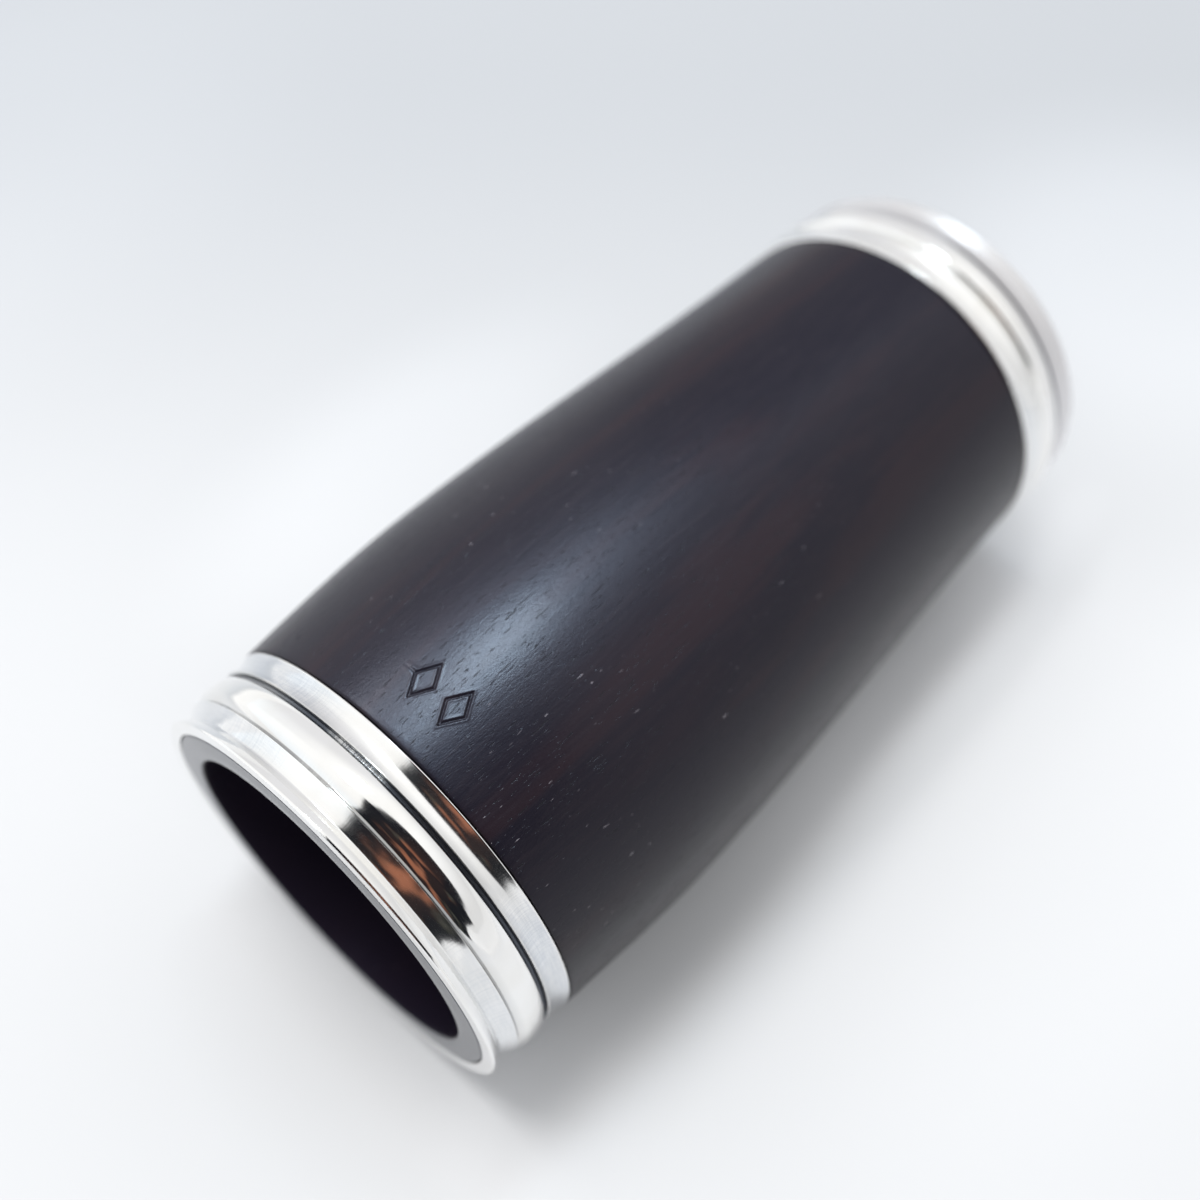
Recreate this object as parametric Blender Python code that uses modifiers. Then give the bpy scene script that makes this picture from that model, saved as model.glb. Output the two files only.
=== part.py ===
"""Clarinet barrel: a turned blackwood body with two press-fitted silver-plated end rings.

Units are metres, +Z is up. The barrel lies on its side with its bore along X.
The origin is on the bore axis, half-way along the barrel.
+X is the mouthpiece (upper) end and -X is the upper-joint (lower) end.
"""

import math

import bmesh
import bpy
from mathutils import Matrix

MM = 0.001

# ---- overall -----------------------------------------------------------
LENGTH = 66.0 * MM  # standard long barrel
HALF = LENGTH / 2
SEGMENTS = 64  # facets round every turned piece

# ---- turned outside of the body ----------------------------------------
# radius = BASE_R + BASE_SLOPE * x + BULGE * a bell centred nearer the lower end
BASE_R = 14.446 * MM  # at mid-length
BASE_SLOPE = -0.0088
BULGE = 1.758 * MM
BULGE_X = -12.78 * MM
BULGE_REACH_LOWER = 16.70 * MM
BULGE_REACH_UPPER = 27.78 * MM
OUTSIDE_STATIONS = 17
SHOULDER_EASE = 0.12 * MM  # eased corner where the body meets a ring

# ---- rings and the tenons that carry them ------------------------------
LOWER_RING_LENGTH = 6.56 * MM
UPPER_RING_LENGTH = 6.96 * MM  # the upper ring's band is a little wider
LOWER_RING_BORE_R = 14.165 * MM
UPPER_RING_DROP = 0.845 * MM  # the upper ring is this much smaller in radius
FIT_GAP = 0.05 * MM  # glue line between ring and body
LOWER_TENON_R = LOWER_RING_BORE_R - FIT_GAP
UPPER_TENON_R = LOWER_TENON_R - UPPER_RING_DROP
TENON_EASE = 0.10 * MM

# ---- sockets and bore --------------------------------------------------
LOWER_SOCKET_R = 11.93 * MM  # takes the upper joint's tenon
UPPER_SOCKET_R = 11.25 * MM  # takes the mouthpiece's tenon
SOCKET_DEPTH = 17.5 * MM
SOCKET_EASE = 0.24 * MM
BORE_LOWER_R = 7.40 * MM
BORE_UPPER_R = 7.50 * MM  # the bore widens slightly towards the mouthpiece
BORE_EASE = 0.20 * MM

# ---- section of the lower ring, distances measured from its outer end ---
LIP_TOP_R = 15.16 * MM
LIP_EASE = 0.13 * MM
COVE_LOW = 0.92 * MM  # distance to the hollow collar's deepest point
COVE_LOW_R = 14.64 * MM
ARRIS = 2.06 * MM  # sharp edge that ends the collar
ARRIS_R = 15.23 * MM
BEAD_START = 2.16 * MM
BEAD_FOOT_R = 15.04 * MM
BEAD_CLIMB_POWER = 2.2  # a higher power keeps the crown flatter
BEAD_CROWN = 3.10 * MM
BEAD_CROWN_R = 15.52 * MM
BEAD_END = 4.33 * MM
BEAD_FALL = 0.24 * MM  # drop in radius from crown to bead end
BEAD_FALL_POWER = 3.2
GROOVE_START = 4.39 * MM
GROOVE_END = 4.76 * MM
GROOVE_FLOOR_R = 14.91 * MM
BAND_START = 4.81 * MM
BAND_START_R = 15.37 * MM
BAND_LOW_R = 15.23 * MM  # half-way along the band
BAND_END_R = 15.51 * MM
BAND_EASE = 0.14 * MM

# ---- punched setting marks: two lozenge outlines side by side on the body
MARK_X = -22.60 * MM
MARK_TURNS = (2.3, 11.6)  # degrees from the top towards -Y
MARK_LONG = 2.9 * MM  # corner to corner along X
MARK_WIDE = 1.8 * MM
MARK_STROKE = 0.26 * MM
MARK_DEPTH = 0.14 * MM
ISLAND_LONG = MARK_LONG - 2.6 * MARK_STROKE  # uncut lozenge inside the outline
ISLAND_WIDE = MARK_WIDE - 2.2 * MARK_STROKE
CUTTER_TALL = 2.0 * MM


# ---- scene -------------------------------------------------------------
for old in list(bpy.data.objects):
    bpy.data.objects.remove(old, do_unlink=True)

parts = bpy.data.collections.new("clarinet_barrel")
cutters = bpy.data.collections.new("cutters")
bpy.context.scene.collection.children.link(parts)
bpy.context.scene.collection.children.link(cutters)


# ---- materials ---------------------------------------------------------
def material(name, color, roughness, metallic):
    made = bpy.data.materials.new(name)
    made.use_nodes = True
    shader = made.node_tree.nodes["Principled BSDF"]
    shader.inputs["Base Color"].default_value = (*color, 1.0)
    shader.inputs["Roughness"].default_value = roughness
    shader.inputs["Metallic"].default_value = metallic
    return made


def blackwood():
    return material("blackwood", color=(0.012, 0.008, 0.010), roughness=0.28, metallic=0.0)


def silver_plate(end):
    return material(
        f"silver_plate_{end}", color=(0.88, 0.86, 0.82), roughness=0.16, metallic=1.0
    )


# ---- turning -----------------------------------------------------------
def turned(name, points, finish):
    """A piece turned about X from a closed (radius, x) section.

    The section runs from +X to -X down its outside, so that the faces point outwards.
    """
    mesh = bpy.data.meshes.new(name)
    section = bmesh.new()
    around = [section.verts.new((radius, 0.0, x)) for radius, x in points]
    for i, vertex in enumerate(around):
        section.edges.new((vertex, around[(i + 1) % len(around)]))
    section.to_mesh(mesh)
    section.free()
    mesh.materials.append(finish)
    mesh.shade_smooth()
    mesh.set_sharp_from_angle(angle=math.radians(30))

    piece = bpy.data.objects.new(name, mesh)
    parts.objects.link(piece)
    piece.rotation_euler = (0.0, math.pi / 2, 0.0)  # local Z becomes world X
    screw = piece.modifiers.new("turn", "SCREW")
    screw.axis = "Z"
    screw.angle = 2 * math.pi
    screw.steps = SEGMENTS
    screw.render_steps = SEGMENTS
    screw.use_merge_vertices = False
    screw.use_smooth_shade = True
    return piece


# ---- body --------------------------------------------------------------
def outside_radius(x):
    """Radius of the turned body at x, measured from mid-length."""
    reach = BULGE_REACH_LOWER if x < BULGE_X else BULGE_REACH_UPPER
    return BASE_R + BASE_SLOPE * x + BULGE * math.exp(-(((x - BULGE_X) / reach) ** 2))


def body_profile():
    """Closed section of the body as (radius, x), down the outside and back up the bore."""
    lower_shoulder = -HALF + LOWER_RING_LENGTH + FIT_GAP
    upper_shoulder = HALF - UPPER_RING_LENGTH - FIT_GAP
    low, high = lower_shoulder + SHOULDER_EASE, upper_shoulder - SHOULDER_EASE
    stations = [
        high + (low - high) * i / (OUTSIDE_STATIONS - 1) for i in range(OUTSIDE_STATIONS)
    ]
    lower_floor = -HALF + SOCKET_DEPTH
    upper_floor = HALF - SOCKET_DEPTH
    return [
        # upper tenon
        (UPPER_SOCKET_R + SOCKET_EASE, HALF),
        (UPPER_TENON_R - TENON_EASE, HALF),
        (UPPER_TENON_R, HALF - TENON_EASE),
        (UPPER_TENON_R, upper_shoulder),
        # outside, shoulder to shoulder
        (outside_radius(upper_shoulder) - SHOULDER_EASE, upper_shoulder),
        *((outside_radius(x), x) for x in stations),
        (outside_radius(lower_shoulder) - SHOULDER_EASE, lower_shoulder),
        # lower tenon
        (LOWER_TENON_R, lower_shoulder),
        (LOWER_TENON_R, -HALF + TENON_EASE),
        (LOWER_TENON_R - TENON_EASE, -HALF),
        # lower socket, bore and upper socket
        (LOWER_SOCKET_R + SOCKET_EASE, -HALF),
        (LOWER_SOCKET_R, -HALF + SOCKET_EASE),
        (LOWER_SOCKET_R, lower_floor),
        (BORE_LOWER_R + BORE_EASE, lower_floor),
        (BORE_LOWER_R, lower_floor + BORE_EASE),
        (BORE_UPPER_R, upper_floor - BORE_EASE),
        (BORE_UPPER_R + BORE_EASE, upper_floor),
        (UPPER_SOCKET_R, upper_floor),
        (UPPER_SOCKET_R, HALF - SOCKET_EASE),
    ]


# ---- setting marks -----------------------------------------------------
def lozenge_prism(name, long, wide, tall, place):
    """A four-sided prism whose corners point along X and across it, placed by a matrix."""
    mesh = bpy.data.meshes.new(name)
    prism = bmesh.new()
    bmesh.ops.create_cone(
        prism, cap_ends=True, segments=4, radius1=0.5, radius2=0.5, depth=1.0
    )
    bmesh.ops.scale(prism, vec=(long, wide, tall), verts=prism.verts)
    prism.to_mesh(mesh)
    prism.free()
    helper = bpy.data.objects.new(name, mesh)
    helper.matrix_world = place
    helper.hide_render = True
    helper.display_type = "WIRE"
    cutters.objects.link(helper)
    return helper


def cut(piece, cutter):
    boolean = piece.modifiers.new("cut_" + cutter.name, "BOOLEAN")
    boolean.operation = "DIFFERENCE"
    boolean.solver = "EXACT"
    boolean.object = cutter


def punch_mark(body, name, turn):
    """Sink a lozenge outline into the body, turned by degrees from the top."""
    centre_z = outside_radius(MARK_X) - MARK_DEPTH + CUTTER_TALL / 2
    place = (
        Matrix.Rotation(math.radians(turn), 4, "X")
        @ Matrix.Translation((MARK_X, 0.0, centre_z))
    )
    outline = lozenge_prism(name, MARK_LONG, MARK_WIDE, CUTTER_TALL, place)
    # taller than the outline, so that it cuts right through
    island = lozenge_prism(
        f"{name}_island", ISLAND_LONG, ISLAND_WIDE, CUTTER_TALL * 2, place
    )
    cut(outline, island)
    cut(body, outline)


# ---- rings -------------------------------------------------------------
def curve(start, end, fractions, power=2):
    """Points on a power curve that leaves start level and reaches end at fraction 1.

    start, end and the points are (radius, distance from the ring's outer end).
    """
    (start_r, start_along), (end_r, end_along) = start, end
    return [
        (start_r + (end_r - start_r) * u**power, start_along + (end_along - start_along) * u)
        for u in fractions
    ]


def ring_profile(length):
    """Closed section of the lower ring as (radius, distance from the outer end), outside first."""
    lip = (LIP_TOP_R, LIP_EASE)
    cove = (COVE_LOW_R, COVE_LOW)
    crown = (BEAD_CROWN_R, BEAD_CROWN)
    bead_foot = (BEAD_FOOT_R, BEAD_START)
    bead_end = (BEAD_CROWN_R - BEAD_FALL, BEAD_END)
    band_last = length - BAND_EASE
    band_low = (BAND_LOW_R, (BAND_START + band_last) / 2)
    return [
        (LOWER_RING_BORE_R, 0.0),
        (LIP_TOP_R - LIP_EASE, 0.0),
        lip,
        # hollow collar, falling from the lip and climbing to the arris
        *curve(cove, lip, (0.7, 0.4, 0.15)),
        *curve(cove, (ARRIS_R, ARRIS), (0.1, 0.4, 0.7, 1.0)),
        # bead, climbing to its crown and easing down towards the groove
        *curve(crown, bead_foot, (1.0, 0.7, 0.4, 0.15), BEAD_CLIMB_POWER),
        *curve(crown, bead_end, (0.2, 0.65, 1.0), BEAD_FALL_POWER),
        (GROOVE_FLOOR_R, GROOVE_START),
        (GROOVE_FLOOR_R, GROOVE_END),
        # slightly hollow band next to the body
        *curve(band_low, (BAND_START_R, BAND_START), (1.0, 0.5)),
        *curve(band_low, (BAND_END_R, band_last), (0.0, 0.5, 1.0)),
        (BAND_END_R - BAND_EASE, length),
        (LOWER_RING_BORE_R, length),
    ]


def ring(end, side, length, drop):
    """An end ring; side is +1 at the +X end and -1 at the -X end."""
    section = [(radius - drop, side * (HALF - along)) for radius, along in ring_profile(length)]
    if side < 0:
        section.reverse()  # its outer end is at -X, so it runs the other way
    turned(f"{end}_ring", section, silver_plate(end))


# ---- build -------------------------------------------------------------
barrel_body = turned("barrel_body", body_profile(), blackwood())
for index, mark_turn in enumerate(MARK_TURNS):
    punch_mark(barrel_body, f"mark_{index}", mark_turn)

ring("lower", side=-1, length=LOWER_RING_LENGTH, drop=0.0)
ring("upper", side=1, length=UPPER_RING_LENGTH, drop=UPPER_RING_DROP)

bpy.context.view_layer.update()
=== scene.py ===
"""Looks for the clarinet barrel: a turned blackwood body with a silver-plated ring on each end.

The bore lies along X, centred on x = 0, with the lower ring at -X and the upper ring at +X.
Profiles are (x, radius) in mm. The stage is in metres.
"""

import math

import bpy
import numpy as np
from mathutils import Matrix, Vector


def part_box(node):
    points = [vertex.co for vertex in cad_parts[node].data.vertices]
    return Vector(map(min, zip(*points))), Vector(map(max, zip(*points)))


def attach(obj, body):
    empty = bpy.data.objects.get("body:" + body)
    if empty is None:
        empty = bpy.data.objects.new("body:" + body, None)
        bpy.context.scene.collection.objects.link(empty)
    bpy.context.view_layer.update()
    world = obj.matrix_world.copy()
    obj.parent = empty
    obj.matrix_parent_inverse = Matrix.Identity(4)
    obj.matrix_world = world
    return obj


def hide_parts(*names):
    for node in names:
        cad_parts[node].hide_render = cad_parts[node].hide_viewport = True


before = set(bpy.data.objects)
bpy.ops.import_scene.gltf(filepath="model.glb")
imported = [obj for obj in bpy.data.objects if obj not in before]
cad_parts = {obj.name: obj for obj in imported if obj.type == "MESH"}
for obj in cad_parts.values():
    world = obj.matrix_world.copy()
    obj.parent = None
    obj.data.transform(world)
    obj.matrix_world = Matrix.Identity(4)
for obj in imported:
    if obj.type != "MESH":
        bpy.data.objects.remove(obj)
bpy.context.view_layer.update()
MM = 0.001

# ---------------------------------------------------------------- sizes, in mm
body_lo, body_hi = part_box("barrel_body")
HALF = (body_hi[0] - body_lo[0]) / 2 / MM  # half the barrel's length
REST_Z = body_lo[2]  # floor height, in metres

LOWER_RING_LEN, UPPER_RING_LEN = 6.56, 6.96
RING_BORE_R = 14.165
UPPER_RING_DROP = 0.845  # the upper ring is this much smaller in radius
LOWER_TENON_R = RING_BORE_R - 0.04
UPPER_TENON_R = LOWER_TENON_R - UPPER_RING_DROP
RING_GAP = 0.03
LOWER_SHOULDER = -HALF + LOWER_RING_LEN + RING_GAP
UPPER_SHOULDER = HALF - UPPER_RING_LEN - RING_GAP
LOWER_SOCKET_R, UPPER_SOCKET_R = 11.93, 11.25
SOCKET_DEPTH = 17.5
BORE_LOWER_R, BORE_UPPER_R = 7.40, 7.50

SHOULDER_ROUND, SOCKET_ROUND, BORE_ROUND = 0.16, 0.24, 0.25
TENON_CHAMFER = 0.12

BODY_MID_R, BODY_TAPER = 14.446, 0.0088  # taper: radius lost per mm towards +X
BULGE, BULGE_X = 1.758, -12.78
BULGE_LOWER_REACH, BULGE_UPPER_REACH = 16.70, 27.78

MARKS = ((-22.60, 2.3), (-22.60, 11.6))  # lozenge centres: x, turn in degrees
MARK_HALF_LEN, MARK_HALF_WIDTH = 1.32, 0.78
MARK_STROKE, MARK_DEPTH = 0.25, 0.10
BURR_HEIGHT, BURR_WIDTH = 0.018, 0.07

# ring profile at the lower ring's size; each _AT is a distance from the ring's outer end
LIP_R, LIP_ROUND = 15.16, 0.15
COLLAR_AT = 0.16
COLLAR_LOW_AT, COLLAR_LOW_R = 0.98, 14.66
ARRIS_AT, ARRIS_R = 2.06, 15.23
BEAD_FOOT_AT, BEAD_FOOT_R = ARRIS_AT + 0.13, 15.05
BEAD_AT, BEAD_R = 3.10, 15.52
WORN_BEAD_ROUND = 0.45
GROOVE_AT = 4.36
BAND_AT = GROOVE_AT + 0.48
BAND_START_R, BAND_LOW_R, BAND_END_R = 15.37, 15.23, 15.515
BAND_EDGE = 0.15
# groove: (distance past GROOVE_AT, radius, tarnish_and_shade), the last being tarnish and painted
# shade in the groove
CRISP_GROOVE = (
    (0.02, BEAD_R - 0.26, 0.05), (0.05, BEAD_R - 0.33, 0.2), (0.08, 15.06, 0.55),
    (0.11, 14.96, 0.9), (0.17, 14.91, 0.9), (0.28, 14.91, 0.9),
    (0.35, 14.95, 0.9), (0.375, 15.06, 0.9), (0.39, 15.24, 0.7),
)
WORN_GROOVE = (
    (0.04, 15.03, 0.15), (0.10, 14.96, 0.15), (0.18, 14.93, 0.15), (0.28, 14.93, 0.15),
    (0.35, 14.98, 0.15), (0.375, 15.08, 0.1), (0.39, 15.24, 0.1),
)


# ---------------------------------------------------------------- mesh builders
def arc(x, r, radius, start, end, count):
    """Points (x, r) on an arc. Angles in degrees: 0 along +x, 90 outward."""
    angle = np.radians(np.linspace(start, end, count))
    return list(zip(x + radius * np.cos(angle), r + radius * np.sin(angle)))


def add_object(name, data):
    obj = bpy.data.objects.new(name, data)
    bpy.context.scene.collection.objects.link(obj)
    return obj


def add_attribute(mesh, name, values):
    data = mesh.attributes.new(name, "FLOAT", "POINT").data
    data.foreach_set("value", np.asarray(values, np.float32))


def revolve(name, section, turns, fields, lift=None):
    """Closed piece turned about X.

    section: (x, r) in mm round a closed loop; turns: degrees from the top towards -Y;
    fields: values per section point, kept as vertex attributes;
    lift(x, r, turn): extra radius in mm.
    """
    stations = np.array(section)
    x, angle = np.meshgrid(stations[:, 0], np.radians(turns), indexing="ij")
    n, m = x.shape
    r = np.repeat(stations[:, 1][:, None], m, 1)
    if lift is not None:
        r = r + lift(x, r, np.degrees(angle))
    points = np.stack([x, -r * np.sin(angle), r * np.cos(angle)], -1).reshape(-1, 3) * MM
    i, j = np.meshgrid(np.arange(n), np.arange(m), indexing="ij")
    i2, j2 = (i + 1) % n, (j + 1) % m
    quads = np.stack([i * m + j, i2 * m + j, i2 * m + j2, i * m + j2], -1).reshape(-1, 4)
    # a negative volume means the faces point inwards
    corners = points[quads]
    volume = sum(
        np.einsum("ij,ij->i", corners[:, 0], np.cross(corners[:, k], corners[:, k + 1])).sum()
        for k in (1, 2)
    )
    if volume < 0:
        quads = quads[:, ::-1]
    mesh = bpy.data.meshes.new(name)
    mesh.from_pydata(points.tolist(), [], quads.tolist())
    for key, values in fields.items():
        add_attribute(mesh, key, np.repeat(values, m))
    mesh.update()
    mesh.shade_smooth()
    mesh.set_sharp_from_angle(angle=math.radians(40))
    return add_object(name, mesh)


def fit(obj, finish, node):
    """Give a detailed piece its material and put it in place of the CAD piece."""
    obj.data.materials.append(finish)
    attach(obj, "root")
    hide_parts(node)


# ---------------------------------------------------------------- node helpers
class Nodes:
    """Adds nodes to a tree. Each method returns an output socket unless it says otherwise."""

    def __init__(self, tree):
        self.tree = tree

    def add(self, kind, **settings):
        """Returns the node."""
        node = self.tree.nodes.new(kind)
        for key, value in settings.items():
            setattr(node, key, value)
        return node

    def put(self, socket, value):
        """Link a socket or set a value. None leaves the input alone."""
        if isinstance(value, bpy.types.NodeSocket):
            self.tree.links.new(value, socket)
        elif value is not None:
            socket.default_value = value

    def surface(self, settings):
        bsdf = self.tree.nodes["Principled BSDF"]
        for key, value in settings.items():
            self.put(bsdf.inputs[key], value)

    def calc(self, operation, *values):
        node = self.add("ShaderNodeMath", operation=operation)
        for socket, value in zip(node.inputs, values):
            self.put(socket, value)
        return node.outputs[0]

    def times(self, product, *factors):
        for factor in factors:
            product = self.calc("MULTIPLY", product, factor)
        return product

    def plus(self, a, b):
        return self.calc("ADD", a, b)

    def times_plus(self, value, factor, offset):
        return self.calc("MULTIPLY_ADD", value, factor, offset)

    def fade(self, mask, by):
        """1 where the mask is 0, down to 1 - by where it is 1."""
        return self.times_plus(mask, factor=-by, offset=1.0)

    def ramp(self, value, span, to=(0.0, 1.0)):
        """Smooth step from to[0] to to[1] as the value crosses the span."""
        node = self.add("ShaderNodeMapRange", interpolation_type="SMOOTHSTEP")
        for socket, setting in zip(node.inputs, (value, *span, *to)):
            self.put(socket, setting)
        return node.outputs[0]

    def window(self, value, rise, fall):
        """1 between the rise and the fall, 0 outside them."""
        return self.times(self.ramp(value, rise), self.ramp(value, fall, to=(1.0, 0.0)))

    def vector(self, operation, a, b=None):
        node = self.add("ShaderNodeVectorMath", operation=operation)
        self.put(node.inputs[0], a)
        self.put(node.inputs[1], b)
        is_number = operation in ("LENGTH", "DOT_PRODUCT")
        return node.outputs["Value" if is_number else "Vector"]

    def mix(self, factor, a, b):
        node = self.add("ShaderNodeMix", data_type="RGBA")
        self.put(node.inputs[0], factor)
        for socket, colour in ((node.inputs[6], a), (node.inputs[7], b)):
            self.put(socket, (*colour, 1.0) if isinstance(colour, tuple) else colour)
        return node.outputs[2]

    def scaled(self, vector, scale, offset=(0, 0, 0)):
        node = self.add("ShaderNodeMapping")
        self.put(node.inputs["Vector"], vector)
        node.inputs["Scale"].default_value = scale
        node.inputs["Location"].default_value = offset
        return node.outputs[0]

    def noise(self, vector, scale, offset=(0, 0, 0), detail=3.0, rough=0.5, distort=0.0):
        node = self.add("ShaderNodeTexNoise")
        self.put(node.inputs["Vector"], self.scaled(vector, scale, offset))
        node.inputs["Scale"].default_value = 1.0
        node.inputs["Detail"].default_value = detail
        node.inputs["Roughness"].default_value = rough
        node.inputs["Distortion"].default_value = distort
        return node.outputs["Fac"]

    def coordinates(self, kind="Object"):
        return self.add("ShaderNodeTexCoord").outputs[kind]

    def barrel_place(self):
        """Position in mm, distance along X, and turn in radians from the top towards +Y."""
        mm = self.scaled(self.coordinates(), (1000, 1000, 1000))
        split = self.add("ShaderNodeSeparateXYZ")
        self.put(split.inputs[0], mm)
        x, y, z = split.outputs
        return mm, x, self.calc("ARCTAN2", y, z)

    def attribute(self, name):
        return self.add("ShaderNodeAttribute", attribute_name=name).outputs["Fac"]

    def bump(self, height, distance, strength):
        node = self.add("ShaderNodeBump")
        node.inputs["Strength"].default_value = strength
        node.inputs["Distance"].default_value = distance
        self.put(node.inputs["Height"], height)
        return node.outputs[0]


def new_material(name):
    material = bpy.data.materials.new(name)
    material.use_nodes = True
    return material, Nodes(material.node_tree)


# ---------------------------------------------------------------- blackwood
def wood_colour(w, mm, along, fibre, pores, inside, face):
    streak = w.noise(mm, scale=(0.03, 0.30, 0.30), rough=0.55, distort=0.4)
    warm = w.ramp(streak, span=(0.48, 0.72))
    colour = w.mix(warm, (0.0046, 0.0036, 0.0062), (0.0090, 0.0048, 0.0066))
    pale_fibre = w.ramp(fibre, span=(0.40, 0.78), to=(0.0, 0.45))
    colour = w.mix(pale_fibre, colour, (0.0105, 0.0070, 0.0090))
    colour = w.mix(w.times(pores, 0.7), colour, (0.0025, 0.0020, 0.0025))
    # pale flecks in patches, fewer towards the upper end
    patches = w.noise(mm, scale=(0.10, 0.16, 0.16), offset=(5.0, 2.0, 9.0), detail=1.0)
    flecks = w.noise(mm, scale=(1.5, 9.0, 9.0), offset=(41.0, 13.0, 5.0), detail=0.0)
    flecks = w.times(
        w.ramp(flecks, span=(0.82, 0.87)),
        w.ramp(patches, span=(0.46, 0.60)),
        w.ramp(along, span=(-8.0, 10.0), to=(1.0, 0.12)),
    )
    colour = w.mix(w.times(flecks, 0.8), colour, (0.17, 0.15, 0.16))
    # painted light: the bore and sockets get a lighter, bluer colour than the outside, so their
    # shade is not quite black
    colour = w.mix(w.times(inside, 0.8), colour, (0.0100, 0.0075, 0.0140))
    # lighter, bluish end faces: partly bare end grain, partly a painted reflection of the pale
    # surroundings
    return w.mix(w.times(face, 0.8), colour, (0.020, 0.027, 0.038))


def wood_shine(w, along, turn, dull, inside, face):
    """Specular level: low in the bore, high on the end faces and the handled sides."""
    bare = w.times_plus(face, factor=0.35, offset=0.5)
    level = w.times_plus(inside, factor=-0.42, offset=bare)
    level = w.times(level, w.fade(dull, by=0.42))
    minus_y = w.times(
        w.ramp(turn, span=(-1.15, -0.80), to=(0.35, 0.0)),
        w.ramp(turn, span=(-1.62, -1.42)),
    )
    plus_y = w.times(
        w.ramp(turn, span=(0.72, 0.95), to=(0.0, 0.6)),
        w.ramp(along, span=(-16.0, 0.0), to=(1.0, 0.0)),
    )
    shiny = w.calc("MAXIMUM", minus_y, plus_y)
    return w.times(level, w.plus(shiny, 1.0))


def blackwood():
    material, w = new_material("blackwood")
    mm, along, turn = w.barrel_place()
    # everything in the wood runs along the bore: cells long in X, narrow across it
    fibre = w.noise(mm, scale=(0.22, 4.2, 4.2), detail=4.0, rough=0.6, distort=0.2)
    pores = w.noise(mm, scale=(1.0, 8.0, 8.0), offset=(3.1, 0, 7.7), detail=1.0)
    pores = w.ramp(pores, span=(0.66, 0.72))
    chatter = w.noise(mm, scale=(3.0, 11.0, 11.0), offset=(9.1, 4.0, 0), detail=2.0, rough=0.6)
    inside = w.attribute("inside")
    face = w.attribute("face")
    # rubbed duller on top towards the upper end
    dull = w.times(
        w.window(turn, rise=(-0.32, -0.06), fall=(0.40, 0.66)),
        w.ramp(along, span=(-10.0, 8.0)),
    )

    rough = w.plus(w.ramp(fibre, span=(0.3, 0.7), to=(0.35, 0.41)), w.times(pores, 0.2))
    bare = w.calc("MAXIMUM", inside, face)
    coat = w.times(w.times_plus(bare, factor=-0.13, offset=0.14), w.fade(dull, by=0.42))

    height = w.plus(w.times(fibre, 0.35), w.times(chatter, 0.6))
    height = w.calc("SUBTRACT", height, w.times(pores, 0.6))
    height = w.times(height, w.fade(face, by=0.8))
    bumped = w.bump(height, distance=0.00002, strength=0.9)
    w.surface({
        "Base Color": wood_colour(w, mm, along, fibre, pores, inside, face),
        "Roughness": w.times_plus(face, factor=-0.27, offset=rough),
        "IOR": 1.28,
        "Specular Tint": (0.90, 0.88, 1.0, 1.0),
        "Specular IOR Level": wood_shine(w, along, turn, dull, inside, face),
        "Coat Weight": coat,
        "Coat Roughness": 0.16,
        "Coat IOR": 1.42,
        "Normal": bumped,
        "Coat Normal": bumped,
    })
    return material


# ---------------------------------------------------------------- silver plate
WRAP_R = 15.5  # mm round the ring per radian of turn


def plate_colour(s, upper, along, turn, wrapped, lines, cloud, satin):
    colour = s.mix(s.ramp(cloud, span=(0.35, 0.7)), (0.935, 0.932, 0.920), (0.90, 0.89, 0.865))
    # brushed haze, deepened on both flanks by painted shade of the reflected floor, clear on a
    # crest just to the -Y side of the top
    cross = s.noise(wrapped, scale=(9.0, 0.5, 1.0), offset=(1, 6, 0), detail=2.0, rough=0.6)
    haze_and_shade = s.plus(
        s.ramp(lines, span=(0.38, 0.64), to=(0.28, 0.62)),
        s.ramp(cross, span=(0.40, 0.62), to=(0.0, 0.22)),
    )
    from_crest = s.calc("ABSOLUTE", s.plus(turn, 0.365))
    haze_and_shade = s.times(haze_and_shade, satin, s.ramp(from_crest, span=(0.36, 0.74)))
    if upper:
        haze_and_shade = s.times(haze_and_shade, 0.45)
    colour = s.mix(haze_and_shade, colour, (0.54, 0.575, 0.63))
    if upper:  # painted shade: darker towards its outer end, dimming the lamp's reflection there
        outer = s.ramp(along, span=(29.3, 30.6), to=(0.0, 0.9))
        colour = s.mix(outer, colour, (0.70, 0.69, 0.70))
    return colour


def tarnish_and_shade_fade(s, upper, turn, lines):
    if upper:  # the painted shade and tarnish fade on its +Y side
        return s.ramp(turn, span=(-0.30, 0.05), to=(0.0, 1.5))
    # they fade in places near the top and on the +Y side, where the lamp glints in the groove
    top = s.times(
        s.window(turn, rise=(-0.26, -0.17), fall=(0.05, 0.13)),
        s.ramp(lines, span=(0.45, 0.60), to=(0.35, 1.0)),
    )
    return s.calc("MAXIMUM", top, s.ramp(turn, span=(0.20, 0.55), to=(0.0, 0.45)))


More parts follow.
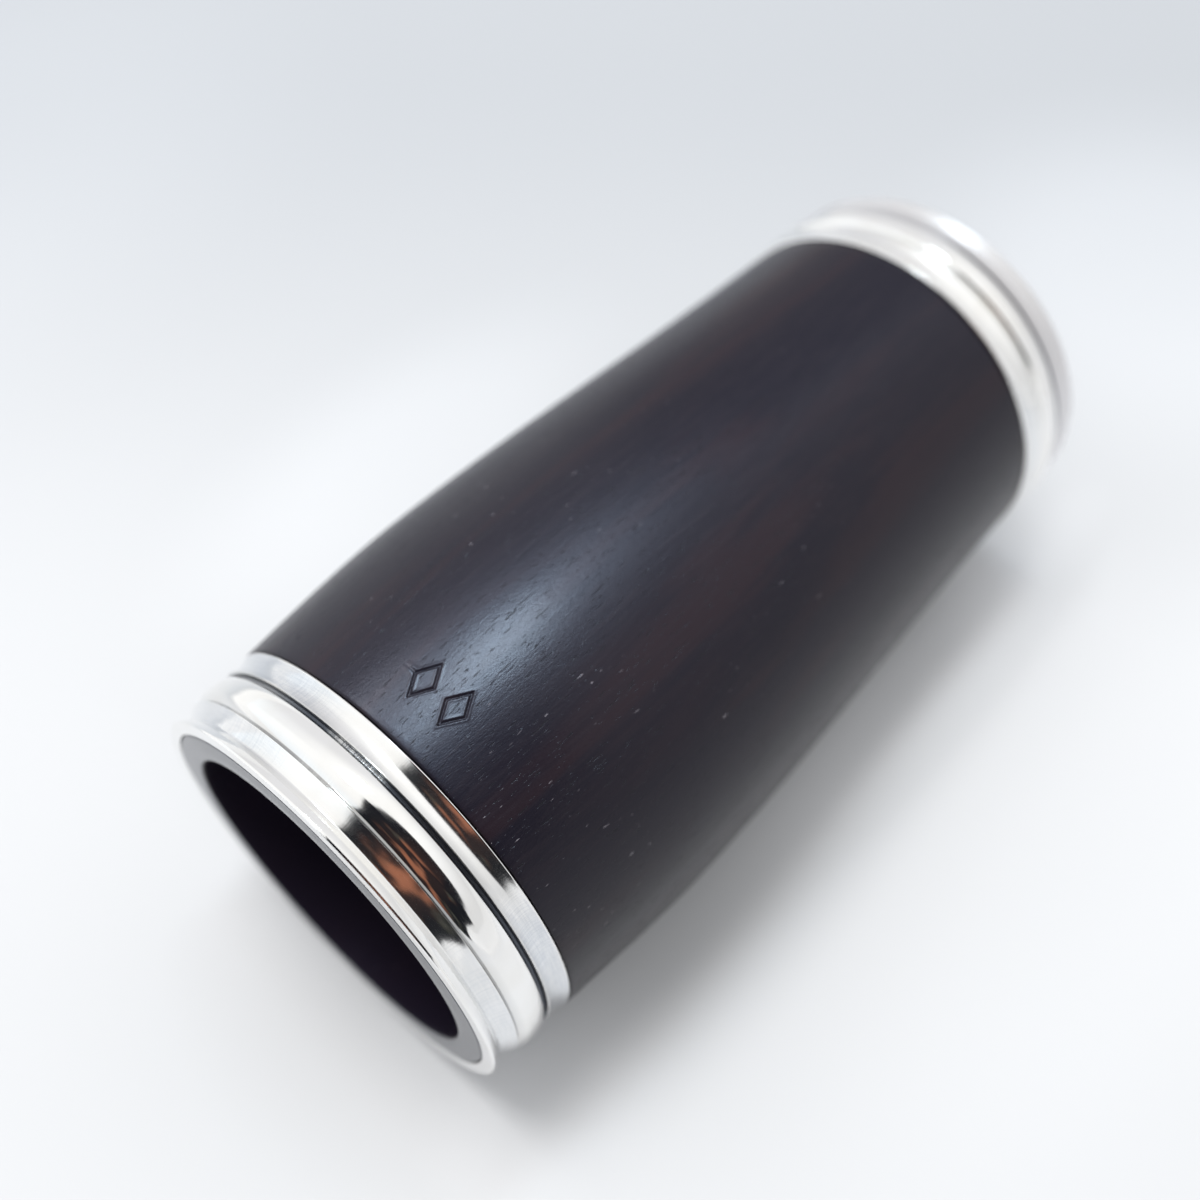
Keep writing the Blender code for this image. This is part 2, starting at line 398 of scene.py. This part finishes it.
def silver(name, upper):
    material, s = new_material(name)
    mm, along, turn = s.barrel_place()
    unrolled = s.add("ShaderNodeCombineXYZ")
    s.put(unrolled.inputs[0], along)
    s.put(unrolled.inputs[1], s.times(turn, WRAP_R))
    wrapped = unrolled.outputs[0]
    satin = s.attribute("satin")
    lines = s.noise(wrapped, scale=(0.3, 11.0, 1.0), detail=4.0, rough=0.65)
    rings = s.noise(wrapped, scale=(9.0, 0.25, 1.0), offset=(3, 1, 0), rough=0.6)
    cloud = s.noise(mm, scale=(0.35, 0.35, 0.35))

    shade_fade = tarnish_and_shade_fade(s, upper, turn, lines)
    tarnish_and_shade = s.times(s.attribute("tarnish_and_shade"), s.fade(shade_fade, by=0.55))
    colour = plate_colour(s, upper, along, turn, wrapped, lines, cloud, satin)

    satin_rough = s.plus(s.times_plus(lines, factor=0.10, offset=0.0), 0.01)
    rough = s.times_plus(satin, satin_rough, offset=0.13 if upper else 0.07)
    rough = s.plus(rough, s.times(s.ramp(cloud, span=(0.4, 0.7)), 0.03))
    rough = s.calc("MAXIMUM", rough, s.times(tarnish_and_shade, 0.55))
    if upper:
        rough = s.plus(rough, s.ramp(along, span=(28.9, 29.8), to=(0.0, 0.20)))

    height = s.times(lines, s.times_plus(satin, factor=0.28, offset=0.04))
    height = s.plus(height, s.times(rings, 0.12))
    s.surface({
        # painted shade with tarnish: dark blue-grey where tarnish_and_shade is set, in the
        # hollows
        "Base Color": s.mix(tarnish_and_shade, colour, (0.032, 0.044, 0.072)),
        "Metallic": 1.0,
        "Roughness": rough,
        "Normal": s.bump(height, distance=0.000006, strength=0.8),
    })
    return material


# ---------------------------------------------------------------- rings
# Ring points are (distance from outer end, radius, satin, tarnish_and_shade), at the lower ring's
# size; the last darkens the hollows, partly tarnish and partly painted shade.
# worn: softer edges, a slightly shallower collar and a groove with less tarnish and painted
# shade.
def tagged(points, satin, tarnish_and_shade=0.0):
    return [(at, r, satin, tarnish_and_shade) for at, r in points]


def collar(worn):
    """Hollow collar: rolls over steeper and steeper, then climbs to a sharp arris."""
    low_r = COLLAR_LOW_R + (0.12 if worn else 0.0)
    points = []
    for u in np.linspace(0.03, 0.985, 26):
        at = COLLAR_AT + (ARRIS_AT - COLLAR_AT) * u
        fall = (at - COLLAR_AT) / (COLLAR_LOW_AT - COLLAR_AT)
        climb = max(0.0, (at - COLLAR_LOW_AT) / (ARRIS_AT - COLLAR_LOW_AT))
        if worn and at < COLLAR_LOW_AT:
            r = LIP_R - (LIP_R - low_r) * fall**1.1 * (1 - 0.12 * fall**4)
        elif worn:
            r = low_r + 0.03 + (ARRIS_R - low_r - 0.03) * climb**1.5
        else:  # the two curves meet in a soft hollow
            down = LIP_R - (LIP_R - low_r) * (0.45 * fall + 0.55 * fall**1.6)
            up = low_r + (ARRIS_R - low_r) * climb**1.5
            r = up + 0.03 * math.log1p(math.exp((down - up) / 0.03))
        points.append((at, r, 0.65 if at > COLLAR_LOW_AT - 0.15 else 0.25, 0.0))
    return points


def notch(worn):
    """Narrow step down from the arris to the foot of the bead."""
    edge = [(ARRIS_AT + 0.005, ARRIS_R + 0.003), (ARRIS_AT + 0.03, ARRIS_R - 0.012)]
    floor = [(ARRIS_AT + 0.055, ARRIS_R - 0.08), (ARRIS_AT + 0.075, 15.05)]
    floor.append((ARRIS_AT + 0.12, 15.01))
    # painted shade, with some tarnish, darkens the floor of the notch
    return tagged(edge, satin=0.1) + tagged(floor, satin=0.1, tarnish_and_shade=0.8 if worn else 0.35)


def bead(worn):
    """Rises steeply from the notch, then runs almost level to the groove."""
    points = []
    for u in np.linspace(0.02, 0.98, 26):
        at = BEAD_FOOT_AT + (GROOVE_AT - BEAD_FOOT_AT) * u
        if at < BEAD_AT:
            below = (BEAD_AT - at) / (BEAD_AT - BEAD_FOOT_AT)
            r = BEAD_FOOT_R + (BEAD_R - BEAD_FOOT_R) * (1 - below**2.2)
        elif worn:
            past = max(0.0, at - GROOVE_AT + 0.42)
            drop = math.sqrt(max(0.0, WORN_BEAD_ROUND**2 - past**2))
            r = BEAD_R - WORN_BEAD_ROUND + drop
        else:
            r = BEAD_R - 0.24 * ((at - BEAD_AT) / (GROOVE_AT - BEAD_AT)) ** 3.2
        # painted shade, with some tarnish, darkens the foot of the bead
        if worn:
            tarnish_and_shade = 0.7 if u < 0.07 else 0.0
        else:
            tarnish_and_shade = 0.22 * max(0.0, 1 - u / 0.26)
        points.append((at, r, 0.0, tarnish_and_shade))
    return points


def groove(worn):
    table = WORN_GROOVE if worn else CRISP_GROOVE
    points = [(GROOVE_AT + past, r, 0.0, tarnish_and_shade) for past, r, tarnish_and_shade in table]
    # painted shade along the groove's outer edge, on the crisp ring
    edge = [(GROOVE_AT + 0.40, 15.33)]
    edge += [(GROOVE_AT + past, BAND_START_R) for past in (0.43, 0.47)]
    return points + tagged(edge, satin=0.05, tarnish_and_shade=0.0 if worn else 0.22)


def band(length, worn):
    """Hollow satin band, ending in a rounded edge."""
    last = length - BAND_EDGE
    low = (BAND_AT + last) / 2
    points = []
    for u in np.linspace(0.03, 0.97, 16):
        at = BAND_AT + (last - BAND_AT) * u
        if at < low:
            r = BAND_LOW_R + (BAND_START_R - BAND_LOW_R) * ((low - at) / (low - BAND_AT)) ** 2
        else:
            r = BAND_LOW_R + (BAND_END_R - BAND_LOW_R) * ((at - low) / (last - low)) ** 2
        # painted shade along the start of the band, beside the groove, on the crisp ring
        points.append((at, r, 1.0, 0.0 if worn else 0.20 * max(0.0, 1 - u / 0.28)))
    return points + tagged(arc(last + 0.01, BAND_END_R - 0.12, 0.12, 96, 4, 8), satin=0.0)


def ring_section(length, worn):
    """Ring points round the closed section."""
    end_face = [(0.0, RING_BORE_R + 0.03), (0.0, 14.57), (0.0, LIP_R - 0.19)]
    lip = arc(LIP_ROUND, LIP_R - LIP_ROUND, LIP_ROUND, 172, 84, 9)
    bore = [(length, 15.31), (length, 14.7), (length, RING_BORE_R + 0.03)]
    bore += [(at, RING_BORE_R) for at in (length - 0.03, length / 2, 0.03)]
    return (
        tagged(end_face, satin=0.15) + tagged(lip, satin=0.05)
        + collar(worn) + notch(worn) + bead(worn) + groove(worn) + band(length, worn)
        + tagged(bore, satin=0.2)
    )


def make_ring(node, side, length, drop, finish, worn):
    at, r, satin, tarnish_and_shade = np.array(ring_section(length, worn)).T
    section = np.stack([side * (HALF - at), r - drop], -1)
    fields = {"satin": satin, "tarnish_and_shade": tarnish_and_shade}
    fit(revolve(node + "_fine", section, np.arange(0, 360, 1.0), fields), finish, node)


# ---------------------------------------------------------------- body
def outside(x):
    """Radius of the turned body at x."""
    reach = BULGE_LOWER_REACH if x < BULGE_X else BULGE_UPPER_REACH
    return BODY_MID_R - BODY_TAPER * x + BULGE * math.exp(-(((x - BULGE_X) / reach) ** 2))


def punched(x, r, turn):
    """Two open lozenges pressed into the outside, each with a slight raised edge."""
    out = np.zeros_like(x)
    on_outside = r > 15.0
    turn = (turn + 180.0) % 360.0 - 180.0
    for mark_x, mark_turn in MARKS:
        u = np.abs(x - mark_x) / MARK_HALF_LEN
        v = np.abs(np.radians(turn - mark_turn) * r) / MARK_HALF_WIDTH
        distance = np.abs((u + v - 1.0) / math.hypot(1 / MARK_HALF_LEN, 1 / MARK_HALF_WIDTH))
        t = np.clip(1 - distance / (MARK_STROKE / 2), 0, 1)
        stroke = -MARK_DEPTH * (t * t * (3 - 2 * t)) ** 0.8
        burr = BURR_HEIGHT * np.exp(-(((distance - MARK_STROKE * 0.62) / BURR_WIDTH) ** 2))
        out += np.where(on_outside, stroke + burr, 0.0)
    return out


def outer_points():
    """Turned outside, from the lower shoulder to the upper one."""
    low, high, edge = LOWER_SHOULDER, UPPER_SHOULDER, SHOULDER_ROUND
    stations = np.concatenate([
        np.arange(low + 0.25, -24.50, 0.3),
        np.arange(-24.46, -20.74, 0.056),  # close together through the marks
        np.arange(-20.4, high - 0.4, 0.75),
    ])
    points = arc(low + edge, outside(low) - edge, edge, 180, 95, 6)
    points += [(x, outside(x)) for x in stations]
    return points + arc(high - edge, outside(high) - edge, edge, 85, 0, 6)


def upper_end_points():
    """Upper tenon, end face and socket, down to the bore."""
    tenon, socket, edge = UPPER_TENON_R, UPPER_SOCKET_R, SOCKET_ROUND
    floor = HALF - SOCKET_DEPTH
    points = [(UPPER_SHOULDER, tenon + 0.3), (UPPER_SHOULDER, tenon), (HALF - 3.0, tenon)]
    points += [(HALF - TENON_CHAMFER, tenon), (HALF, tenon - TENON_CHAMFER)]
    points += [(HALF, (tenon + socket) / 2)]
    points += arc(HALF - edge, socket + edge, edge, 0, -90, 7)
    points += [(x, socket) for x in np.linspace(HALF - 3, floor + 0.2, 8)]
    points += [(floor + 0.05, socket - 0.03), (floor, socket - 0.2), (floor, 9.4)]
    return points + arc(floor - BORE_ROUND, BORE_UPPER_R + BORE_ROUND, BORE_ROUND, 0, -90, 6)


def bore_points():
    start = HALF - SOCKET_DEPTH - 0.3
    return [
        (start - 2 * start * u, BORE_UPPER_R + (BORE_LOWER_R - BORE_UPPER_R) * u)
        for u in np.linspace(0.1, 0.9, 7)
    ]


def lower_end_points():
    """Lower socket, end face and tenon, out from the bore."""
    tenon, socket, edge = LOWER_TENON_R, LOWER_SOCKET_R, SOCKET_ROUND
    floor = -HALF + SOCKET_DEPTH
    points = arc(floor + BORE_ROUND, BORE_LOWER_R + BORE_ROUND, BORE_ROUND, -90, -180, 6)
    points += [(floor, 9.7), (floor, socket - 0.2), (floor - 0.05, socket - 0.03)]
    points += [(x, socket) for x in np.linspace(floor - 0.2, -HALF + 1.0, 10)]
    points += arc(-HALF + edge, socket + edge, edge, -90, -180, 7)
    points += [(-HALF, 13.0), (-HALF, tenon - TENON_CHAMFER), (-HALF + TENON_CHAMFER, tenon)]
    return points + [(-HALF + 3.0, tenon), (LOWER_SHOULDER, tenon), (LOWER_SHOULDER, tenon + 0.3)]


def make_body(finish):
    # close together through the marks
    turns = np.concatenate([np.arange(-0.8, 15.7, 0.2), np.arange(16.7, 358.2, 1.5)])
    section = outer_points() + upper_end_points() + bore_points() + lower_end_points()
    fields = {
        "inside": [1.0 if r < 12.2 and abs(x) < HALF - 0.06 else 0.0 for x, r in section],
        "face": [1.0 if abs(x) > HALF - 0.01 else 0.0 for x, _ in section],
    }
    obj = revolve("barrel_body_fine", section, turns, fields, lift=punched)
    fit(obj, finish, "barrel_body")
    return obj


body = make_body(blackwood())
make_ring(
    "lower_ring", side=-1, length=LOWER_RING_LEN, drop=0.0,
    finish=silver("silver_plate_lower", upper=False), worn=False,
)
make_ring(
    "upper_ring", side=1, length=UPPER_RING_LEN, drop=UPPER_RING_DROP,
    finish=silver("silver_plate_upper", upper=True), worn=True,
)

# ---------------------------------------------------------------- floor, in metres
PAPER = (0.503, 0.508, 0.522)
PAPER_CLOUD = tuple(c * 0.985 for c in PAPER)
PAPER_FAR_SHADE = tuple(c * k for c, k in zip(PAPER, (0.722, 0.742, 0.766)))
# painted light: patches where the sheet's colour is raised, mostly to soften the barrel's shadow:
# (centre x, y), (radius x, y), gain
PAINTED_LIGHT_PATCHES = (
    ((0.016, -0.0155), (0.034, 0.0062), 1.28),
    ((0.074, -0.005), (0.040, 0.034), 1.14),
    ((0.004, 0.034), (0.036, 0.018), 1.10),
    ((0.000, 0.104), (0.060, 0.046), 1.06),
    ((0.016, -0.036), (0.060, 0.022), 1.06),
    ((-0.029, -0.0155), (0.013, 0.009), 1.10),
)


def floor_paper():
    material, n = new_material("floor_paper")
    where = n.coordinates()

    def plan():
        """Position with its height dropped."""
        return n.scaled(where, (1, 1, 0))

    cloud = n.noise(where, scale=(14, 14, 14), detail=2.0)
    tone = n.mix(n.ramp(cloud, span=(0.3, 0.7)), PAPER, PAPER_CLOUD)
    # painted shade: the sheet is coloured a little cooler and darker towards its far side
    split = n.add("ShaderNodeSeparateXYZ")
    n.put(split.inputs[0], where)
    far = n.plus(n.times(split.outputs[0], 0.739), n.times(split.outputs[1], 0.674))
    tone = n.mix(n.ramp(far, span=(-0.012, 0.088)), tone, PAPER_FAR_SHADE)
    # painted light: the sheet's colour is raised in these patches, so its shaded side is not as
    # dark as the lamps alone make it
    for centre, radii, gain in PAINTED_LIGHT_PATCHES:
        away = n.vector("SUBTRACT", plan(), (*centre, 0.0))
        away = n.vector("LENGTH", n.scaled(away, (1 / radii[0], 1 / radii[1], 0)))
        near = n.ramp(away, span=(0.25, 1.15), to=(1.0, 0.0))
        near = n.calc("SMOOTH_MIN", near, n.times(near, near))
        tone = n.mix(near, tone, n.scaled(tone, (gain, gain, gain)))
    # the raised rim glows like the tent behind it, so that no edge shows in the polished rings
    lit = n.vector("DOT_PRODUCT", n.vector("NORMALIZE", plan()), (-0.68, 0.68, 0.0))
    rim = n.mix(n.ramp(lit, span=(-0.7, 0.8)), (0.84, 0.845, 0.855), (1.05, 1.055, 1.06))
    high = n.ramp(n.vector("LENGTH", plan()), span=(0.15, 0.34))
    n.surface({
        "Base Color": n.mix(high, tone, (0.0, 0.0, 0.0)),
        "Emission Color": rim,
        "Emission Strength": high,
        "Roughness": 0.7,
        "Specular IOR Level": 0.2,
    })
    return material


def make_floor():
    """A pale sweep: flat under the object and curving up far from it."""
    rings = [(0.01 * 1.32**i, 0.0) for i in range(14)]
    rings += [
        (0.48 + 0.30 * math.sin(a), 0.16 * (1 - math.cos(a)))
        for a in np.radians(np.linspace(6, 80, 14))
    ]
    m = 96
    angles = [2 * math.pi * k / m for k in range(m)]
    verts = [(0, 0, REST_Z)]
    for r, z in rings:
        verts += [(r * math.cos(a), r * math.sin(a), REST_Z + z) for a in angles]
    faces = [(0, 1 + k, 1 + (k + 1) % m) for k in range(m)]
    for i in range(len(rings) - 1):
        a, b = 1 + i * m, 1 + (i + 1) * m
        faces += [(a + k, b + k, b + (k + 1) % m, a + (k + 1) % m) for k in range(m)]
    mesh = bpy.data.meshes.new("floor")
    mesh.from_pydata(verts, [], faces)
    mesh.shade_smooth()
    obj = add_object("floor", mesh)
    mesh.materials.append(floor_paper())


make_floor()


# ---------------------------------------------------------------- tent and lamps
def make_tent():
    """World colour, varied by direction."""
    world = bpy.data.worlds.new("tent")
    world.use_nodes = True
    bpy.context.scene.world = world
    n = Nodes(world.node_tree)
    sky = n.coordinates("Generated")

    def toward(direction, span):
        """0 to 1 as the view direction turns towards the given one."""
        return n.ramp(n.vector("DOT_PRODUCT", sky, Vector(direction).normalized()), span)

    bright_side = toward((-0.62, 0.62, 0.30), span=(-0.6, 0.9))
    tent = n.mix(bright_side, (0.77, 0.775, 0.785), (1.12, 1.17, 1.21))
    tent = n.mix(toward((0.05, 0.05, 1.0), span=(0.15, 0.85)), tent, (1.07, 1.07, 1.065))
    tent = n.mix(toward((0.70, 0.58, 0.42), span=(0.74, 0.97)), tent, (0.84, 0.84, 0.86))
    background = n.tree.nodes["Background"]
    n.put(background.inputs["Color"], tent)
    n.put(background.inputs["Strength"], 1.0)


def axes_matrix(place, x_axis, y_axis, z_axis):
    return Matrix.Translation(place) @ Matrix((x_axis, y_axis, z_axis)).transposed().to_4x4()


def area_light(name, size, power, colour, size_y=None):
    data = bpy.data.lights.new(name, "AREA")
    data.shape = "RECTANGLE" if size_y else "SQUARE"
    data.size = size
    if size_y:
        data.size_y = size_y
    data.energy = power
    data.color = colour
    obj = add_object(name, data)
    obj.rotation_mode = "QUATERNION"
    return obj


def aim(obj, place, target):
    obj.location = place
    obj.rotation_quaternion = (Vector(target) - obj.location).to_track_quat("-Z", "Y")


LAMP_DISTANCE = 0.62


def make_lamps():
    wood_only = bpy.data.collections.new("wood_only")
    wood_only.objects.link(body)

    # long overhead lamp that draws the soft highlight beside the lower ring,
    # and a broader one in the same place for the wood alone
    tube = area_light("tube", size=0.20, size_y=0.060, power=0.60, colour=(0.80, 0.92, 1.0))
    sheen = area_light("sheen", size=0.14, size_y=0.15, power=5.0, colour=(0.64, 0.84, 1.0))
    to_lamp = Vector((0.24, 0.16, 0.96)).normalized()
    along = Vector((0.284, -0.162, -0.05))
    along = (along - along.dot(to_lamp) * to_lamp).normalized()
    place = Vector((-0.02, 0.0, 0.0)) + to_lamp * LAMP_DISTANCE
    tube.matrix_world = axes_matrix(place, along, to_lamp.cross(along), to_lamp)
    sheen.matrix_world = tube.matrix_world
    sheen.light_linking.receiver_collection = wood_only

    beside = area_light("beside", size=0.16, power=1.3, colour=(0.84, 0.90, 1.0))
    to_lamp = Vector((0.03, 0.50, 0.86)).normalized()
    place = Vector((-0.035, 0.0, 0.0)) + to_lamp * LAMP_DISTANCE
    aim(beside, place, target=(-0.03, 0, 0))
    beside.light_linking.receiver_collection = wood_only

    # high soft light for the sheet and the contact shadow beside the barrel
    high = area_light("high", size=0.22, power=3.2, colour=(1.0, 0.99, 0.97))
    aim(high, place=(-0.05, 0.11, 0.59), target=(0, 0, 0))
    high.visible_glossy = False


make_tent()
make_lamps()

# ---------------------------------------------------------------- dark card
# (x, z) down the card before it is tilted
CARD_PATH = (
    (0.0, 0.092), (-0.033, 0.094), (-0.073, 0.092), (-0.108, 0.082),
    (-0.138, 0.057), (-0.153, 0.022), (-0.158, 0.0),
)
CARD_Y, CARD_HALF_WIDTH = -0.040, 0.075
CARD_CORNER = 0.018  # how far the first edge is drawn in at its corners
CARD_TILT = 22.9  # degrees about X


def card_glow():
    material, n = new_material("dark_card")
    where = n.coordinates()
    blot = n.noise(
        where, scale=(11, 24, 11), offset=(0.35, 0.1, 0.0), detail=2.5, rough=0.6, distort=0.2
    )
    grey = n.noise(where, scale=(16, 34, 16), offset=(4.0, 2.0, 1.0), detail=2.0)
    lit = n.times(
        n.window(n.attribute("side"), rise=(-0.50, -0.10), fall=(0.50, 0.88)),
        n.ramp(blot, span=(0.45, 0.58), to=(0.04, 1.0)),
        n.ramp(n.attribute("reach"), span=(0.45, 1.25), to=(0.08, 1.0)),
    )
    tone = n.mix(lit, (0.010, 0.011, 0.014), (0.36, 0.14, 0.080))
    tone = n.mix(n.ramp(grey, span=(0.56, 0.68), to=(0.0, 0.6)), tone, (0.09, 0.09, 0.070))
    middle = n.ramp(n.attribute("middle"), span=(0.0, 0.45))
    glow = n.add("ShaderNodeEmission")
    n.put(glow.inputs["Color"], n.mix(middle, (0.008, 0.009, 0.013), tone))
    n.put(n.tree.nodes["Material Output"].inputs["Surface"], glow.outputs[0])
    n.tree.nodes.remove(n.tree.nodes["Principled BSDF"])
    return material


def make_dark_card():
    """A dark rounded shape beside the camera, seen only in polished metal and oiled wood."""
    verts, middle, side, reach = [], [], [], []
    across = np.linspace(-1, 1, 13)
    for k, (x, z) in enumerate(CARD_PATH):
        for c in across:
            inset = CARD_CORNER * abs(c) ** 2.5 if k == 0 else 0.0
            verts.append((x - inset, CARD_Y + CARD_HALF_WIDTH * c, z))
            middle.append((1 - abs(c) ** 1.5) * min(1.0, k / 2.0 + 0.12))
            side.append(c)
            reach.append(k)
    m = len(across)
    faces = [
        (k * m + i, k * m + i + 1, (k + 1) * m + i + 1, (k + 1) * m + i)
        for k in range(len(CARD_PATH) - 1)
        for i in range(m - 1)
    ]
    mesh = bpy.data.meshes.new("dark_card")
    mesh.from_pydata(verts, [], faces)
    add_attribute(mesh, "middle", middle)
    add_attribute(mesh, "side", side)
    add_attribute(mesh, "reach", reach)
    mesh.transform(Matrix.Rotation(math.radians(CARD_TILT), 4, "X"))
    mesh.shade_smooth()
    obj = add_object("dark_card", mesh)
    mesh.materials.append(card_glow())
    for kind in ("camera", "diffuse", "transmission", "volume_scatter", "shadow"):
        setattr(obj, "visible_" + kind, False)


make_dark_card()

# ---------------------------------------------------------------- camera
CAM_AT = Vector((-0.046979, -0.036735, 0.086768))
CAM_RIGHT = Vector((0.67392, -0.73880, 0.0)).normalized()
CAM_FORWARD = Vector((0.41413, 0.37780, -0.82811)).normalized()
FOCUS_AT = (-0.02634, -0.00368, 0.0152)


def make_camera():
    data = bpy.data.cameras.new("camera")
    camera = add_object("camera", data)
    up = CAM_RIGHT.cross(CAM_FORWARD)
    camera.matrix_world = axes_matrix(CAM_AT, CAM_RIGHT, up, -CAM_FORWARD)
    data.sensor_width = 36.0
    data.lens = 42.332
    data.clip_start = 0.002
    data.clip_end = 10.0
    bpy.context.scene.camera = camera

    focus = add_object("focus_spot", None)
    focus.location = FOCUS_AT
    data.dof.use_dof = True
    data.dof.focus_object = focus
    data.dof.aperture_fstop = 17.0


make_camera()
view = bpy.context.scene.view_settings
view.view_transform = "Standard"
view.look = "None"
view.exposure = 0.0
view.gamma = 1.0
